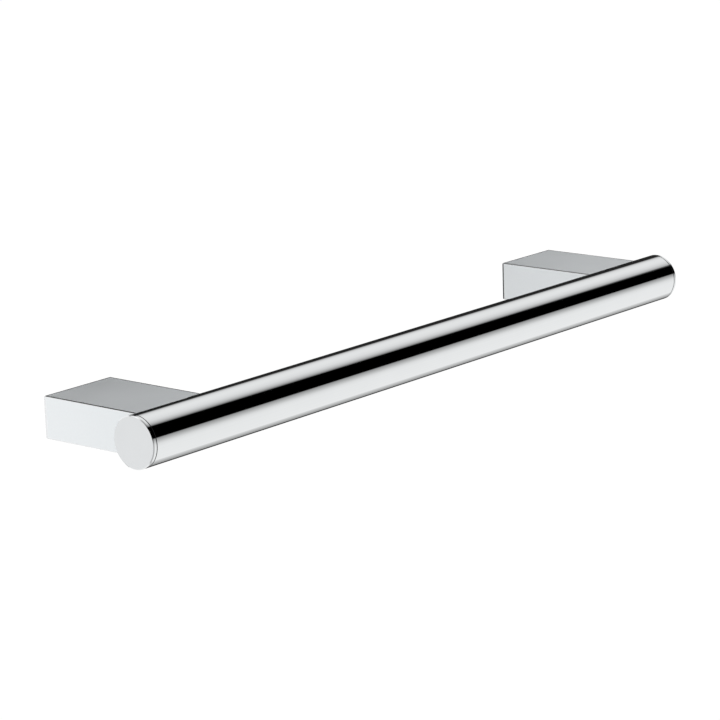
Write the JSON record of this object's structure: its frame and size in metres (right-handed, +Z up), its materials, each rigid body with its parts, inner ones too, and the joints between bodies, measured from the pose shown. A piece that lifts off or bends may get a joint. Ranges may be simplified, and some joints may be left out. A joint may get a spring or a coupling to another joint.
{
  "type": "towel rail",
  "caption": "Straight wall-mounted chrome towel rail: a round capped tube on rectangular hollow brackets that lock onto hidden wall plates.",
  "frame": {"origin": "on the wall, midway between the two brackets and level with the rail's centre line", "axes": "+X along the rail, +Y into the wall, +Z up"},
  "size_m": [0.495, 0.095, 0.03],
  "materials": {
    "chrome": "polished chrome plate",
    "plate_metal": "raw die-cast zinc",
    "screw_steel": "plain stainless",
    "brass": "machined",
    "seal_rubber": "matt"
  },
  "bodies": {
    "root": {"rail_tube": "chrome", "end_cap_left": "chrome", "end_cap_right": "chrome", "bracket_left": "chrome", "bracket_right": "chrome", "rail_nut_left": "brass", "rail_nut_right": "brass", "rail_screws_left": "screw_steel", "rail_screws_right": "screw_steel", "lock_washers_left": "screw_steel", "lock_washers_right": "screw_steel", "set_screw_left": "screw_steel", "set_screw_right": "screw_steel", "wall_plate_left": "plate_metal", "wall_plate_right": "plate_metal", "cap_rings_left": "seal_rubber", "cap_rings_right": "seal_rubber"}
  },
  "joints": []
}
